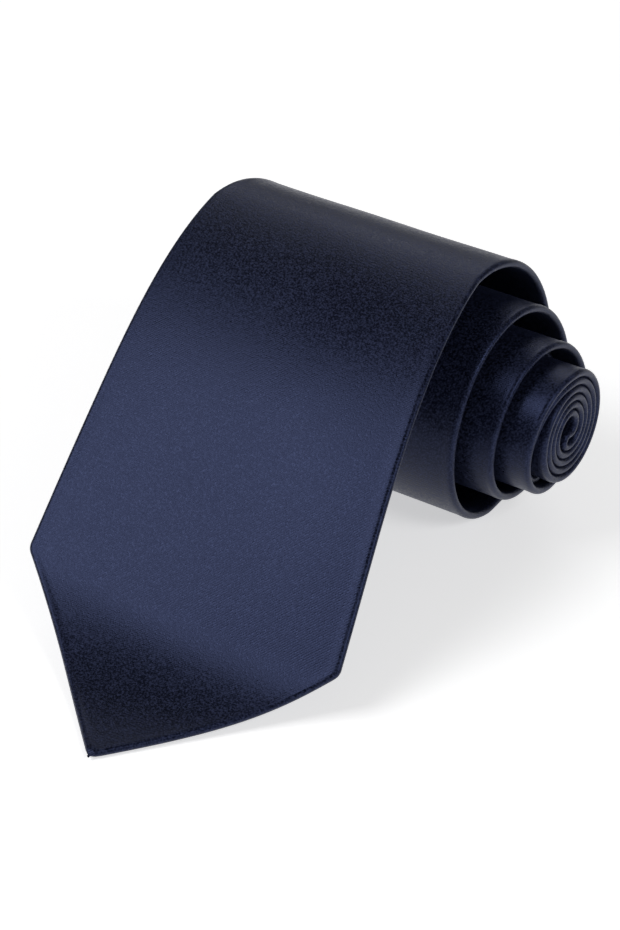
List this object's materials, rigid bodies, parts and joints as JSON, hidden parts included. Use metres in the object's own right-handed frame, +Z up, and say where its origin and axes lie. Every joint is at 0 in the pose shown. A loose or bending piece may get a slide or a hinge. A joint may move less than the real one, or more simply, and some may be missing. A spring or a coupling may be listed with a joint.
{
  "type": "necktie",
  "caption": "Satin necktie folded at the neck and rolled up on its side, with its pointed blade drawn off the top of the roll and laid on the table",
  "frame": {"origin": "on the table under the middle of the bounding box", "axes": "X runs along the axis of the roll, +X at the end where the inner turns stand out; the blade's point faces -Y and the roll is at +Y; +Z is up"},
  "size_m": [0.1048, 0.17, 0.0701],
  "materials": {
    "satin": "satin weave with a soft sheen",
    "lining": "plain smooth lining",
    "interlining": "brushed wool",
    "thread": "twisted sewing thread",
    "maker_label": "woven, plain",
    "care_label": "printed satin tape, left blank"
  },
  "bodies": {
    "roll": {"blade_envelope_rolled": "satin", "neck_envelope": "satin", "tail_envelope": "satin", "blade_to_neck_seam": "thread", "neck_to_tail_seam": "thread", "blade_interlining_rolled": "interlining", "tail_interlining": "interlining", "interlining_join_stitch": "thread", "tail_tipping": "lining", "tail_tipping_stitch_left": "thread", "tail_tipping_stitch_right": "thread", "slip_stitch_thread_rolled": "thread", "tail_bar_tack": "thread", "tail_spare_thread_loop": "thread", "keeper_loop": "satin", "keeper_stitch_left": "thread", "keeper_stitch_right": "thread", "maker_label": "maker_label", "label_stitch_left": "thread", "label_stitch_right": "thread", "care_label": "care_label"},
    "blade_end": {"blade_envelope": "satin", "blade_interlining": "interlining", "blade_tipping": "lining", "blade_tipping_stitch_left": "thread", "blade_tipping_stitch_right": "thread", "slip_stitch_thread": "thread", "blade_bar_tack": "thread", "blade_spare_thread_loop": "thread"}
  },
  "joints": [
    {"name": "blade_lift", "type": "hinge", "parent": "roll", "child": "blade_end", "pos_m": [-0.0075, 0.01047, 0.05591], "axis": [-1, 0, 0], "range_deg": [0, 75]}
  ]
}
